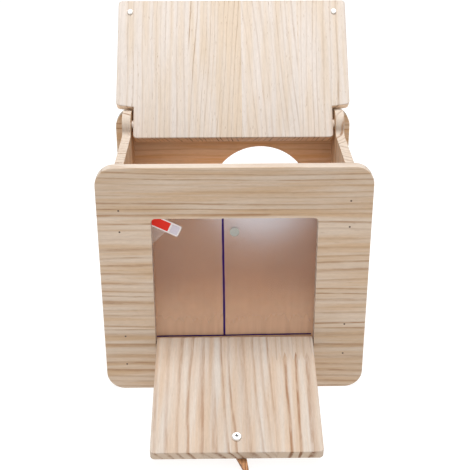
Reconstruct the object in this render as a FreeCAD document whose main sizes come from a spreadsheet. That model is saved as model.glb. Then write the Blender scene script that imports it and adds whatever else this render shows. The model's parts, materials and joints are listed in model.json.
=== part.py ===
"""Parakeet nest box: nailed softwood boards, a notched lid on two dowels, and a drop-down viewing
door over a clear pane.

Millimetres. The origin is the middle of the base, +Z is up and the window faces -Y. The lid and the
door stand open, each resting on its own stop.
"""
import FreeCAD, Part
import math
import os

import Sketcher

# Driving dimensions: name, value, what it is
SIZES = [
    ("front_width", 200, "front panel, side to side"),
    ("front_height", 186, "front panel, also the height of the side panels"),
    ("front_thick", 8.5, "front panel board"),
    ("front_corner", 14, "rounded corners of the front panel"),
    ("back_overhang", 7.5, "back panel beyond each side panel"),
    ("back_thick", 8.5, "back panel board"),
    ("back_corner", 14, "rounded corners of the back panel"),
    ("front_overhang", 14.25, "front panel beyond each side panel"),
    ("inside_depth", 85, "front panel to back panel, also the length of the side panels"),
    ("side_thick", 6.5, "side panel board"),
    ("floor_thick", 8, "floor board"),
    ("arris", 0.8, "sanded edge of a board"),
    ("entrance_diameter", 80, "round hole in the back panel"),
    ("entrance_drop", 58, "middle of the entrance below the top of the side panels"),
    ("entrance_offset", 22, "middle of the entrance to the right of the middle"),
    ("lid_overhang", 5.8, "lid beyond each side panel"),
    ("lid_thick", 8, "lid board"),
    ("lid_reach", 107.5, "lid pivot to the front edge of the lid"),
    ("lid_notch", 16, "lid pivot to the outer end of the notch at each back corner"),
    ("lid_notch_fall", 2, "inner end of the notch nearer to the pivot"),
    ("lid_setback", 13.2, "lid pivot to the inner face of the back panel"),
    ("lid_corner", 3, "rounded corners of the lid, its notches and its tongue"),
    ("lid_open_angle", 131.5, "lid from shut to its rest on the back panel"),
    ("lid_seat_gap", 0.3, "shut lid above the side panels"),
    ("lid_rest_gap", 0.3, "open lid to the top edge of the back panel"),
    ("lid_swing_gap", 0.5, "end of the tongue to the back panel"),
    ("tongue_gap", 1.5, "side of the tongue to an ear"),
    ("shoulder_gap", 0.3, "round shoulder of the tongue to an ear"),
    ("ear_radius", 11, "round top of an ear"),
    ("ear_fillet", 4.5, "hollow at the foot of an ear"),
    ("dowel_diameter", 6, "wooden lid pivot"),
    ("dowel_bite", 18, "dowel inside the lid"),
    ("front_stile", 39, "front panel on each side of the window"),
    ("window_height", 110.5, "window opening, sill to top"),
    ("window_drop", 39.5, "top of the window below the top of the front panel"),
    ("door_thick", 7.5, "door board"),
    ("door_gap", 0.5, "door to the sill and to the top of the window"),
    ("door_side_gap", 0.75, "door to each side of the window"),
    ("door_proud", 1.0, "shut door in front of the front panel"),
    ("door_corner", 3.1, "rounded corners at the free edge of the door"),
    ("door_open_angle", 106, "door from shut to its rest on the sill"),
    ("door_rest_gap", 0.3, "open door to the rounded sill"),
    ("door_pin_diameter", 2.4, "steel door pivot"),
    ("door_pin_bite", 10, "pin inside the door"),
    ("pull_place", 92.7, "door pivot to the screw of the pull"),
    ("pull_length", 22.5, "screw to the middle of the pull's tip"),
    ("pull_round", 5, "round end of the pull"),
    ("pull_tip", 1.6, "narrow end of the pull"),
    ("pull_thick", 4, "pull board"),
    ("pull_turn", 16.5, "pull turned on its screw"),
    ("pull_gap", 0.1, "pull to the door, and screw head to the door"),
    ("pull_screw_bite", 3, "screw inside the pull"),
    ("pull_screw_diameter", 3.2, "shank of the pull screw"),
    ("pull_screw_head", 7, "head of the pull screw, across"),
    ("pull_screw_rise", 1.6, "head of the pull screw, high"),
    ("pull_screw_recess", 1.0, "cross recess of the pull screw, wide"),
    ("pane_thick", 2, "clear pane"),
    ("pane_lap", 12, "pane beyond the window on every side"),
    ("pane_corner", 3, "rounded corners of the pane"),
    ("magnet_diameter", 7, "catch magnet"),
    ("magnet_thick", 3, "catch magnet"),
    ("magnet_sink", 0.3, "face of the magnet behind the front face of the pane"),
    ("magnet_offset", 1.5, "magnet nearer to the sill than the screw of the shut door"),
    ("pane_screw_inset", 6, "pane screw to the edges of the pane"),
    ("pane_screw_bite", 5, "pane screw inside the front panel"),
    ("pane_screw_diameter", 2.5, "shank of a pane screw"),
    ("pane_screw_head", 5, "head of a pane screw, across"),
    ("pane_screw_rise", 1.6, "head of a pane screw, high"),
    ("pane_screw_recess", 0.8, "cross recess of a pane screw, wide"),
    ("lid_screw_inset", 10.5, "lid screw to the front edge of the lid"),
    ("lid_screw_margin", 9.5, "lid screw to the side edge of the lid"),
    ("lid_screw_bite", 5.5, "lid screw inside the lid"),
    ("lid_screw_diameter", 2.5, "shank of a lid screw"),
    ("lid_screw_head", 4.4, "head of a lid screw, across"),
    ("lid_screw_rise", 1.4, "head of a lid screw, high"),
    ("lid_screw_recess", 0.7, "cross recess of a lid screw, wide"),
    ("nail_diameter", 1.4, "flush brad"),
    ("nail_length", 22, "flush brad"),
    ("nail_margin", 1.8, "brad to the outer face of the side panel"),
    ("left_nail_top", 33, "first left brad below the top of the front panel"),
    ("left_nail_upper", 49.9, "second left brad below the top"),
    ("left_nail_lower", 47.8, "third left brad above the base"),
    ("left_nail_bottom", 22.7, "last left brad above the base"),
    ("right_nail_top", 26.3, "first right brad below the top of the front panel"),
    ("right_nail_upper", 46.9, "second right brad below the top"),
    ("right_nail_lower", 57.1, "third right brad above the base"),
    ("right_nail_bottom", 31, "last right brad above the base"),
    ("back_nail_edge", 28, "end back brads to the top of the sides and to the base"),
    ("floor_nail_edge", 18, "end floor brads to the ends of the side panel"),
    ("running_gap", 0.06, "pivot in a hole that turns on it"),
    ("seat_gap", 0.02, "fixed pin, brad or screw in its hole"),
    ("end_gap", 0.5, "end of a pin, brad or screw to the bottom of its hole"),
]

# Places worked out from the sizes: name, formula
PLACES = [
    ("front_face", "-(sizes.front_thick + sizes.inside_depth + sizes.back_thick) / 2"),
    ("side_start", "places.front_face + sizes.front_thick"),
    ("back_face", "places.side_start + sizes.inside_depth"),
    ("body_width", "sizes.front_width - 2 * sizes.front_overhang"),
    ("back_width", "places.body_width + 2 * sizes.back_overhang"),
    ("lid_width", "places.body_width + 2 * sizes.lid_overhang"),
    ("body_half", "places.body_width / 2"),
    ("inside_half", "places.body_half - sizes.side_thick"),
    ("lid_pivot_run", "sizes.inside_depth - sizes.lid_setback"),
    ("lid_pivot_y", "places.side_start + places.lid_pivot_run"),
    ("lid_pivot_z", "sizes.front_height + sizes.lid_seat_gap + sizes.lid_thick / 2"),
    ("tongue_half", "places.inside_half - sizes.tongue_gap"),
    ("shoulder_half", "places.inside_half - sizes.shoulder_gap"),
    ("tongue_back", "sqrt((sizes.lid_setback - sizes.lid_swing_gap)^2 - (sizes.lid_thick / 2)^2)"),
    ("lid_stop_rise", "(sizes.lid_thick / 2 + sizes.lid_rest_gap"
                      " - sizes.lid_setback * sin(sizes.lid_open_angle)) / cos(sizes.lid_open_angle)"),
    ("back_height", "places.lid_pivot_z + places.lid_stop_rise"),
    ("entrance_height", "sizes.front_height - sizes.entrance_drop"),
    ("window_width", "sizes.front_width - 2 * sizes.front_stile"),
    ("window_top", "sizes.front_height - sizes.window_drop"),
    ("window_sill", "places.window_top - sizes.window_height"),
    ("window_corner", "sizes.door_corner + sizes.door_gap"),
    ("door_half", "places.window_width / 2 - sizes.door_side_gap"),
    ("door_round", "sizes.door_thick / 2"),
    ("door_top", "sizes.window_height - 2 * sizes.door_gap - places.door_round"),
    ("door_pivot_depth", "places.door_round - sizes.door_proud"),
    ("door_pivot_y", "places.front_face + places.door_pivot_depth"),
    ("door_pivot_z", "places.window_sill + sizes.door_gap + places.door_round"),
    ("door_slope", "sizes.door_open_angle - 90"),
    ("sill_round", "(places.door_round + sizes.door_rest_gap"
                   " + places.door_pivot_depth * sin(places.door_slope)"
                   " - (sizes.door_gap + places.door_round) * cos(places.door_slope))"
                   " / (sin(places.door_slope) + cos(places.door_slope) - 1)"),
    ("pane_half", "places.window_width / 2 + sizes.pane_lap"),
    ("pane_bottom", "places.window_sill - sizes.pane_lap"),
    ("pane_height", "sizes.window_height + 2 * sizes.pane_lap"),
    ("pane_back", "places.side_start + sizes.pane_thick"),
    ("catch_height", "places.door_pivot_z + sizes.pull_place - sizes.magnet_offset"),
    ("lid_screw_half", "places.lid_width / 2 - sizes.lid_screw_margin"),
    ("lid_screw_y", "sizes.lid_screw_inset - sizes.lid_reach"),
    ("nail_half", "places.body_half - sizes.nail_margin"),
    ("nail_hole", "sizes.nail_diameter / 2 + sizes.seat_gap"),
    ("floor_nail_z", "sizes.floor_thick / 2"),
]

# Rotations of a rod from +Z, and of a screw head from +Y
NO_TURN = "rotation(vector(1; 0; 0); 0)"
TO_RIGHT = "rotation(vector(0; 1; 0); 90)"
TO_LEFT = "rotation(vector(0; 1; 0); -90)"
TO_BACK = "rotation(vector(1; 0; 0); -90)"
TO_FRONT = "rotation(vector(1; 0; 0); 90)"
HEAD_DOWN = "rotation(vector(1; 0; 0); -90)"

SIDE_SIGNS = {"left": "-1", "right": "1"}
NEAR = 1e-4

doc = FreeCAD.newDocument("parakeet_nest_box")


def fill_sheet(name, rows):
    """A spreadsheet with an aliased cell and a note beside it for each row."""
    sheet = doc.addObject("Spreadsheet::Sheet", name)
    for number, (alias, text, note) in enumerate(rows, start=1):
        sheet.set(f"A{number}", text)
        sheet.set(f"B{number}", note)
        sheet.setAlias(f"A{number}", alias)
    doc.recompute()
    return sheet


sizes = fill_sheet("sizes", [(alias, str(number), note) for alias, number, note in SIZES])
fill_sheet("places", [(alias, f"={formula}", "worked out") for alias, formula in PLACES])


def value(expression):
    """The number that an expression of the two sheets gives now."""
    return float(sizes.evalExpression(expression))


# Bodies, sketches and features

def put(piece, base, on=None, turn=NO_TURN):
    """Binds a piece's Placement to three expressions and a rotation, in another piece's frame if given."""
    piece.Label = piece.Name
    local = f"placement(vector({base[0]}; {base[1]}; {base[2]}); {turn})"
    piece.setExpression("Placement", f"{on.Name}.Placement * {local}" if on else local)


def new_body(name, base, on=None, turn=NO_TURN):
    """An empty body at a bound place."""
    body = doc.addObject("PartDesign::Body", name)
    put(body, base, on, turn)
    return body


def new_sketch(body, role, name, offset="0"):
    """A sketch on one of the body's own origin planes, moved along the plane's normal."""
    sketch = body.newObject("Sketcher::SketchObject", f"{body.Name}_{name}")
    support = next(plane for plane in body.Origin.OriginFeatures if plane.Role == role)
    sketch.AttachmentSupport = (support, [""])
    sketch.MapMode = "FlatFace"
    sketch.setExpression("AttachmentOffset.Base.z", offset)
    return sketch


def dimension(sketch, expression, kind, *where):
    """A driving constraint whose datum follows an expression."""
    index = sketch.addConstraint(Sketcher.Constraint(kind, *where, value(expression)))
    name = f"size_{index}"
    sketch.renameConstraint(index, name)
    sketch.setExpression(f"Constraints.{name}", expression)


def fix_point(sketch, geometry, point, x, y):
    """Holds a point at two bound distances from the sketch's origin."""
    dimension(sketch, x, "DistanceX", -1, 1, geometry, point)
    dimension(sketch, y, "DistanceY", -1, 1, geometry, point)


def line(sketch, start, end):
    """A straight line between two points given as pairs of expressions."""
    points = [FreeCAD.Vector(value(x), value(y), 0) for x, y in (start, end)]
    return sketch.addGeometry(Part.LineSegment(*points), False)


def join(sketch, first, second, smooth=False):
    """Joins the end of one line or arc to the start of the next, tangent where asked."""
    kind = "Tangent" if smooth else "Coincident"
    sketch.addConstraint(Sketcher.Constraint(kind, first, 2, second, 1))


def outline(sketch, corners):
    """A closed outline of straight lines through bound corners."""
    following = corners[1:] + corners[:1]
    lines = [line(sketch, start, end) for start, end in zip(corners, following)]
    for first, second in zip(lines, lines[1:] + lines[:1]):
        join(sketch, first, second)
    for index, (x, y) in zip(lines, corners):
        fix_point(sketch, index, 1, x, y)


def rectangle(sketch, left, right, bottom, top):
    """A rectangle between four bound sides."""
    outline(sketch, [(left, bottom), (right, bottom), (right, top), (left, top)])


def circle(sketch, x, y, radius):
    """A circle at a bound place with a bound radius."""
    middle = FreeCAD.Vector(value(x), value(y), 0)
    index = sketch.addGeometry(Part.Circle(middle, FreeCAD.Vector(0, 0, 1), value(radius)), False)
    fix_point(sketch, index, 3, x, y)
    dimension(sketch, radius, "Radius", index)


def arc(sketch, height, radius, start, end):
    """An arc about a point of the sketch's vertical axis, from one angle in degrees to another."""
    middle = FreeCAD.Vector(0, value(height), 0)
    whole = Part.Circle(middle, FreeCAD.Vector(0, 0, 1), value(radius))
    part = Part.ArcOfCircle(whole, math.radians(start), math.radians(end))
    index = sketch.addGeometry(part, False)
    fix_point(sketch, index, 3, "0", height)
    dimension(sketch, radius, "Radius", index)
    return index


def pad(body, sketch, length, reverse=False, both_ways=False):
    """Thickens a sketch along its normal, against it, or to both sides alike."""
    feature = body.newObject("PartDesign::Pad", f"{sketch.Name}_pad")
    feature.Profile = sketch
    feature.setExpression("Length", length)
    feature.Reversed = reverse
    feature.SideType = "Symmetric" if both_ways else "One side"
    doc.recompute()


def pocket(body, sketch, depth=None, reverse=False):
    """Cuts a sketch into the body, or right through both ways where no depth is given."""
    before = body.Shape.Volume
    feature = body.newObject("PartDesign::Pocket", f"{sketch.Name}_cut")
    feature.Profile = sketch
    if depth is None:
        feature.Type = "ThroughAll"
        feature.SideType = "Symmetric"
    else:
        feature.setExpression("Length", depth)
        feature.Reversed = reverse
    doc.recompute()
    if not body.Shape.Volume < before:
        raise RuntimeError(f"{sketch.Name} cuts nothing")


def drill(body, role, name, holes, radius, depth=None, offset="0", reverse=False):
    """Round holes of one size and depth from one plane."""
    sketch = new_sketch(body, role, name, offset)
    for x, y in holes:
        circle(sketch, x, y, radius)
    pocket(body, sketch, depth, reverse)


def runs_along(edge, axis):
    """Whether an edge is straight and parallel to axis X, Y or Z."""
    if edge.Curve.TypeId != "Part::GeomLine":
        return False
    direction = edge.tangentAt(edge.FirstParameter)
    return abs(abs(getattr(direction, axis.lower())) - 1) < NEAR


def lies_at(edge, axis, expression):
    """Whether an edge lies wholly at one bound coordinate."""
    place = value(expression)
    low = getattr(edge.BoundBox, f"{axis}Min")
    high = getattr(edge.BoundBox, f"{axis}Max")
    return abs(low - place) < NEAR and abs(high - place) < NEAR


def fillet(body, name, radius, test):
    """Rounds the edges of the body that pass a test."""
    base = body.Tip
    edges = [f"Edge{i}" for i, edge in enumerate(base.Shape.Edges, start=1) if test(edge)]
    if not edges:
        raise RuntimeError(f"{body.Name} has no edge for {name}")
    feature = body.newObject("PartDesign::Fillet", f"{body.Name}_{name}")
    feature.Base = (base, edges)
    feature.setExpression("Radius", radius)
    doc.recompute()


def new_rod(name, diameter, length, base, turn):
    """A plain round rod at a bound place."""
    rod = doc.addObject("Part::Cylinder", name)
    rod.setExpression("Radius", f"{diameter} / 2")
    rod.setExpression("Height", length)
    put(rod, base, turn=turn)
    return rod


def new_group(name, members):
    """One sub-part of several like solids."""
    group = doc.addObject("Part::Compound", name)
    group.Label = name
    group.Links = members
    return group


def new_screw(name, kind, length, base, on=None, turn=NO_TURN):
    """A pan-head screw along Y, its head at +Y, with a cross recess in the head."""
    screw = new_body(name, base, on, turn)
    shank = f"sizes.{kind}_diameter / 2"
    head = f"sizes.{kind}_head / 2"
    rise = f"sizes.{kind}_rise"
    profile = new_sketch(screw, "XY_Plane", "profile")
    outline(profile, [
        ("0", f"-({length})"),
        (shank, f"-({length})"),
        (shank, "0"),
        (head, "0"),
        (head, rise),
        ("0", rise),
    ])
    turned = screw.newObject("PartDesign::Revolution", f"{name}_turned")
    turned.Profile = profile
    turned.ReferenceAxis = (profile, ["V_Axis"])
    doc.recompute()
    fillet(screw, "crown", f"{rise} * 2 / 3", lambda edge: lies_at(edge, "Y", rise))
    wide = f"sizes.{kind}_recess / 2"
    across = f"{head} / 2"
    for arm, half_x, half_z in (("flat_arm", across, wide), ("upright_arm", wide, across)):
        recess = new_sketch(screw, "XZ_Plane", arm, f"-{rise}")
        rectangle(recess, f"-({half_x})", half_x, f"-({half_z})", half_z)
        pocket(screw, recess, f"{rise} / 2", reverse=True)
    return screw


# Where the brads and the pane screws sit

FRONT_NAIL_HEIGHTS = {
    side: [
        f"sizes.front_height - sizes.{side}_nail_top",
        f"sizes.front_height - sizes.{side}_nail_upper",
        f"sizes.{side}_nail_lower",
        f"sizes.{side}_nail_bottom",
    ]
    for side in SIDE_SIGNS
}
BACK_NAIL_HEIGHTS = [
    "sizes.back_nail_edge",
    "sizes.front_height / 2",
    "sizes.front_height - sizes.back_nail_edge",
]
FLOOR_NAIL_RUNS = [
    "sizes.floor_nail_edge",
    "sizes.inside_depth / 2",
    "sizes.inside_depth - sizes.floor_nail_edge",
]
FRONT_NAILS = [
    (f"{sign} * places.nail_half", height)
    for side, sign in SIDE_SIGNS.items() for height in FRONT_NAIL_HEIGHTS[side]
]
BACK_NAILS = [
    (f"{sign} * places.nail_half", height)
    for sign in SIDE_SIGNS.values() for height in BACK_NAIL_HEIGHTS
]
FLOOR_NAILS = [(run, "places.floor_nail_z") for run in FLOOR_NAIL_RUNS]
PANE_SCREWS = [
    (f"{sign} * (places.pane_half - sizes.pane_screw_inset)", height)
    for sign in SIDE_SIGNS.values()
    for height in (
        "places.pane_bottom + sizes.pane_screw_inset",
        "places.pane_bottom + places.pane_height - sizes.pane_screw_inset",
    )
]


# Walls and floor

def new_board(name, y, width, height, thick, corner):
    """An upright board across the box, with rounded corners and sanded edges."""
    board = new_body(name, ("0", y, "0"))
    sketch = new_sketch(board, "XZ_Plane", "outline")
    rectangle(sketch, f"-{width} / 2", f"{width} / 2", "0", height)
    pad(board, sketch, thick, reverse=True)
    fillet(board, "corners", corner, lambda edge: runs_along(edge, "Y"))
    fillet(board, "edges", "sizes.arris",
           lambda edge: lies_at(edge, "Y", "0") or lies_at(edge, "Y", thick))
    return board


def front_panel():
    """The wide front board with the window, round at its top corners and its sill, and all its holes."""
    panel = new_board("front_panel", "places.front_face", "sizes.front_width", "sizes.front_height",
                      "sizes.front_thick", "sizes.front_corner")
    window = new_sketch(panel, "XZ_Plane", "window")
    rectangle(window, "-places.window_width / 2", "places.window_width / 2",
              "places.window_sill", "places.window_top")
    pocket(panel, window)
    fillet(panel, "window_corners", "places.window_corner",
           lambda edge: runs_along(edge, "Y") and lies_at(edge, "Z", "places.window_top"))
    fillet(panel, "sill", "places.sill_round",
           lambda edge: lies_at(edge, "Y", "0") and lies_at(edge, "Z", "places.window_sill"))
    drill(panel, "YZ_Plane", "pin_holes", [("places.door_pivot_depth", "places.door_pivot_z")],
          "sizes.door_pin_diameter / 2 + sizes.seat_gap")
    drill(panel, "XZ_Plane", "nail_holes", FRONT_NAILS, "places.nail_hole")
    drill(panel, "XZ_Plane", "pane_screw_holes", PANE_SCREWS,
          "sizes.pane_screw_diameter / 2 + sizes.seat_gap",
          "sizes.pane_screw_bite + sizes.end_gap", "-sizes.front_thick", reverse=True)
    return panel


def back_panel():
    """The taller back board with the round entrance, whose top edge stops the open lid."""
    panel = new_board("back_panel", "places.back_face", "places.back_width", "places.back_height",
                      "sizes.back_thick", "sizes.back_corner")
    drill(panel, "XZ_Plane", "entrance", [("sizes.entrance_offset", "places.entrance_height")],
          "sizes.entrance_diameter / 2")
    drill(panel, "XZ_Plane", "nail_holes", BACK_NAILS, "places.nail_hole")
    return panel


def side_panel(side, x, nail_x):
    """A side board whose back top corner rises into a round ear for the lid's dowel."""
    panel = new_body(f"{side}_side_panel", (x, "places.side_start", "0"))
    ear_front = "places.lid_pivot_run - sizes.ear_radius"
    ear_top = "places.lid_pivot_z + sizes.ear_radius"
    profile = new_sketch(panel, "YZ_Plane", "profile")
    outline(profile, [
        ("0", "0"),
        ("sizes.inside_depth", "0"),
        ("sizes.inside_depth", ear_top),
        (ear_front, ear_top),
        (ear_front, "sizes.front_height"),
        ("0", "sizes.front_height"),
    ])
    pad(panel, profile, "sizes.side_thick")
    fillet(panel, "ear", "sizes.ear_radius",
           lambda edge: runs_along(edge, "X") and lies_at(edge, "Z", ear_top))
    fillet(panel, "ear_foot", "sizes.ear_fillet",
           lambda edge: lies_at(edge, "Y", ear_front) and lies_at(edge, "Z", "sizes.front_height"))
    drill(panel, "YZ_Plane", "dowel_hole", [("places.lid_pivot_run", "places.lid_pivot_z")],
          "sizes.dowel_diameter / 2 + sizes.seat_gap")
    drill(panel, "YZ_Plane", "floor_nail_holes", FLOOR_NAILS, "places.nail_hole")
    drill(panel, "XZ_Plane", "front_nail_holes",
          [(nail_x, height) for height in FRONT_NAIL_HEIGHTS[side]], "places.nail_hole",
          "sizes.nail_length - sizes.front_thick + sizes.end_gap")
    drill(panel, "XZ_Plane", "back_nail_holes",
          [(nail_x, height) for height in BACK_NAIL_HEIGHTS], "places.nail_hole",
          "sizes.nail_length - sizes.back_thick + sizes.end_gap", "-sizes.inside_depth", reverse=True)
    return panel


def floor_panel():
    """The floor board, held between the four walls by brads through the sides."""
    panel = new_body("floor_panel", ("0", "places.side_start", "0"))
    sketch = new_sketch(panel, "XY_Plane", "outline")
    rectangle(sketch, "-places.inside_half", "places.inside_half", "0", "sizes.inside_depth")
    pad(panel, sketch, "sizes.floor_thick")
    depth = "sizes.nail_length - sizes.side_thick + sizes.end_gap"
    drill(panel, "YZ_Plane", "left_nail_holes", FLOOR_NAILS, "places.nail_hole", depth,
          "-places.inside_half", reverse=True)
    drill(panel, "YZ_Plane", "right_nail_holes", FLOOR_NAILS, "places.nail_hole", depth,
          "places.inside_half")
    return panel


def brads(name, bases_and_turns):
    """A group of flush brads, each from its head inwards."""
    rods = [
        new_rod(f"{name}_{number}", "sizes.nail_diameter", "sizes.nail_length", base, turn)
        for number, (base, turn) in enumerate(bases_and_turns, start=1)
    ]
    return new_group(name, rods)


def nails():
    """The brads of the front, the back and the floor."""
    back_outside = "places.back_face + sizes.back_thick"
    floor_starts = {"-places.body_half": TO_RIGHT, "places.body_half": TO_LEFT}
    return [
        brads("front_nails", [((x, "places.front_face", z), TO_BACK) for x, z in FRONT_NAILS]),
        brads("back_nails", [((x, back_outside, z), TO_FRONT) for x, z in BACK_NAILS]),
        brads("floor_nails", [
            ((x, f"places.side_start + {run}", z), turn)
            for x, turn in floor_starts.items() for run, z in FLOOR_NAILS
        ]),
    ]


# Lid and its pivots

def lid():
    """The lid about its pivot: a wide board, and behind the notches a tongue with round shoulders."""
    board = new_body("lid", ("0", "places.lid_pivot_y", "places.lid_pivot_z"),
                     turn="rotation(vector(1; 0; 0); -sizes.lid_open_angle)")
    left, right = "-places.lid_width / 2", "places.lid_width / 2"
    under, over = "-sizes.lid_thick / 2", "sizes.lid_thick / 2"
    notch_inner = "sizes.lid_notch_fall - sizes.lid_notch"
    sketch = new_sketch(board, "XY_Plane", "outline", under)
    outline(sketch, [
        (left, "-sizes.lid_reach"),
        (right, "-sizes.lid_reach"),
        (right, "-sizes.lid_notch"),
        ("places.tongue_half", notch_inner),
        ("places.tongue_half", "places.tongue_back"),
        ("-places.tongue_half", "places.tongue_back"),
        ("-places.tongue_half", notch_inner),
        (left, "-sizes.lid_notch"),
    ])
    pad(board, sketch, "sizes.lid_thick")
    fillet(board, "corners", "sizes.lid_corner",
           lambda edge: runs_along(edge, "Z") and not lies_at(edge, "Y", notch_inner))
    fillet(board, "edges", "sizes.arris",
           lambda edge: lies_at(edge, "Z", under) or lies_at(edge, "Z", over))
    shoulders = new_sketch(board, "YZ_Plane", "shoulders")
    circle(shoulders, "0", "0", "sizes.lid_thick / 2")
    pad(board, shoulders, "2 * places.shoulder_half", both_ways=True)
    hole = "sizes.dowel_diameter / 2 + sizes.running_gap"
    depth = "sizes.tongue_gap - sizes.shoulder_gap + sizes.dowel_bite + sizes.end_gap"
    drill(board, "YZ_Plane", "left_dowel_hole", [("0", "0")], hole, depth,
          "-places.shoulder_half", reverse=True)
    drill(board, "YZ_Plane", "right_dowel_hole", [("0", "0")], hole, depth, "places.shoulder_half")
    drill(board, "XY_Plane", "screw_holes",
          [(f"{sign} * places.lid_screw_half", "places.lid_screw_y") for sign in SIDE_SIGNS.values()],
          "sizes.lid_screw_diameter / 2 + sizes.seat_gap",
          "sizes.lid_screw_bite + sizes.end_gap", under, reverse=True)
    return board


def lid_dowels():
    """One wooden dowel on each side, fixed in the ear, on which the lid turns."""
    length = "sizes.side_thick + sizes.tongue_gap + sizes.dowel_bite"
    starts = {"left": "-places.body_half", "right": "places.tongue_half - sizes.dowel_bite"}
    return [
        new_rod(f"{side}_lid_dowel", "sizes.dowel_diameter", length,
                (start, "places.lid_pivot_y", "places.lid_pivot_z"), TO_RIGHT)
        for side, start in starts.items()
    ]


def lid_screws(board):
    """Two small screws near the front edge, with their heads on the inner face of the lid."""
    screws = [
        new_screw(f"{side}_lid_screw", "lid_screw", "sizes.lid_screw_bite",
                  (f"{sign} * places.lid_screw_half", "places.lid_screw_y", "-sizes.lid_thick / 2"),
                  board, HEAD_DOWN)
        for side, sign in SIDE_SIGNS.items()
    ]
    return new_group("lid_screws", screws)


# Pane and catch

def window_pane():
    """The clear pane behind the window, with a hole that holds the magnet."""
    pane = new_body("window_pane", ("0", "places.side_start", "places.pane_bottom"))
    sketch = new_sketch(pane, "XZ_Plane", "outline")
    rectangle(sketch, "-places.pane_half", "places.pane_half", "0", "places.pane_height")
    pad(pane, sketch, "sizes.pane_thick", reverse=True)
    fillet(pane, "corners", "sizes.pane_corner", lambda edge: runs_along(edge, "Y"))
    drill(pane, "XZ_Plane", "magnet_hole", [("0", "places.catch_height - places.pane_bottom")],
          "sizes.magnet_diameter / 2 + sizes.seat_gap")
    drill(pane, "XZ_Plane", "screw_holes",
          [(x, f"{height} - places.pane_bottom") for x, height in PANE_SCREWS],
          "sizes.pane_screw_diameter / 2 + sizes.seat_gap")
    return pane


def pane_screws():
    """A screw in each corner of the pane, from inside the box into the front panel."""
    screws = [
        new_screw(f"pane_screw_{number}", "pane_screw", "sizes.pane_thick + sizes.pane_screw_bite",
                  (x, "places.pane_back", height))
        for number, (x, height) in enumerate(PANE_SCREWS, start=1)
    ]
    return new_group("pane_screws", screws)


def catch_magnet():
    """The round magnet in the pane, which draws the head of the pull screw of the shut door."""
    return new_rod("catch_magnet", "sizes.magnet_diameter", "sizes.magnet_thick",
                   ("0", "places.side_start + sizes.magnet_sink", "places.catch_height"), TO_BACK)


# Viewing door, its pivots and its pull

def viewing_door():
    """The door about its pivot: round along the hinge edge, flat at the free edge, with rounded corners."""
    door = new_body("viewing_door", ("0", "places.door_pivot_y", "places.door_pivot_z"),
                    turn="rotation(vector(1; 0; 0); sizes.door_open_angle)")
    outer, inner = "-places.door_round", "places.door_round"
    profile = new_sketch(door, "YZ_Plane", "profile")
    round_edge = arc(profile, "0", "places.door_round", 180, 360)
    back_line = line(profile, (inner, "0"), (inner, "places.door_top"))
    top_line = line(profile, (inner, "places.door_top"), (outer, "places.door_top"))
    front_line = line(profile, (outer, "places.door_top"), (outer, "0"))
    join(profile, round_edge, back_line, smooth=True)
    join(profile, back_line, top_line)
    join(profile, top_line, front_line)
    join(profile, front_line, round_edge, smooth=True)
    profile.addConstraint(Sketcher.Constraint("Horizontal", top_line))
    profile.addConstraint(Sketcher.Constraint("Vertical", back_line))
    dimension(profile, "places.door_top", "DistanceY", -1, 1, top_line, 1)
    pad(door, profile, "2 * places.door_half", both_ways=True)
    fillet(door, "corners", "sizes.door_corner",
           lambda edge: runs_along(edge, "Y") and lies_at(edge, "Z", "places.door_top"))
    fillet(door, "edges", "sizes.arris",
           lambda edge: runs_along(edge, "X") and lies_at(edge, "Z", "places.door_top"))
    hole = "sizes.door_pin_diameter / 2 + sizes.running_gap"
    depth = "sizes.door_pin_bite + sizes.end_gap"
    drill(door, "YZ_Plane", "left_pin_hole", [("0", "0")], hole, depth, "-places.door_half", reverse=True)
    drill(door, "YZ_Plane", "right_pin_hole", [("0", "0")], hole, depth, "places.door_half")
    drill(door, "XZ_Plane", "screw_hole", [("0", "sizes.pull_place")],
          "sizes.pull_screw_diameter / 2 + sizes.running_gap")
    return door


def door_pins():
    """One steel pin on each side, fixed in the front panel, on which the door turns."""
    length = "sizes.front_width / 2 - places.door_half + sizes.door_pin_bite"
    starts = {"left": "-sizes.front_width / 2", "right": "places.door_half - sizes.door_pin_bite"}
    return [
        new_rod(f"{side}_door_pin", "sizes.door_pin_diameter", length,
                (start, "places.door_pivot_y", "places.door_pivot_z"), TO_RIGHT)
        for side, start in starts.items()
    ]


def door_pull(door):
    """The drop-shaped wooden pull on the outer face of the door, turned a little on its screw."""
    turn = "rotation(vector(0; 1; 0); sizes.pull_turn)"
    pull = new_body("door_pull", ("0", "-places.door_round - sizes.pull_gap", "sizes.pull_place"), door, turn)
    lean = math.degrees(math.asin(value("(sizes.pull_round - sizes.pull_tip) / sizes.pull_length")))
    sketch = new_sketch(pull, "XZ_Plane", "outline")
    round_end = arc(sketch, "0", "sizes.pull_round", 180 - lean, 360 + lean)
    tip = arc(sketch, "sizes.pull_length", "sizes.pull_tip", lean, 180 - lean)
    right_side = line(sketch, ("sizes.pull_round", "0"), ("sizes.pull_tip", "sizes.pull_length"))
    left_side = line(sketch, ("-sizes.pull_tip", "sizes.pull_length"), ("-sizes.pull_round", "0"))
    join(sketch, round_end, right_side, smooth=True)
    join(sketch, right_side, tip, smooth=True)
    join(sketch, tip, left_side, smooth=True)
    join(sketch, left_side, round_end, smooth=True)
    pad(pull, sketch, "sizes.pull_thick")
    fillet(pull, "edges", "sizes.arris", lambda edge: lies_at(edge, "Y", "-sizes.pull_thick"))
    drill(pull, "XZ_Plane", "screw_hole", [("0", "0")],
          "sizes.pull_screw_diameter / 2 + sizes.seat_gap",
          "sizes.pull_screw_bite + sizes.end_gap", reverse=True)
    return pull


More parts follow.
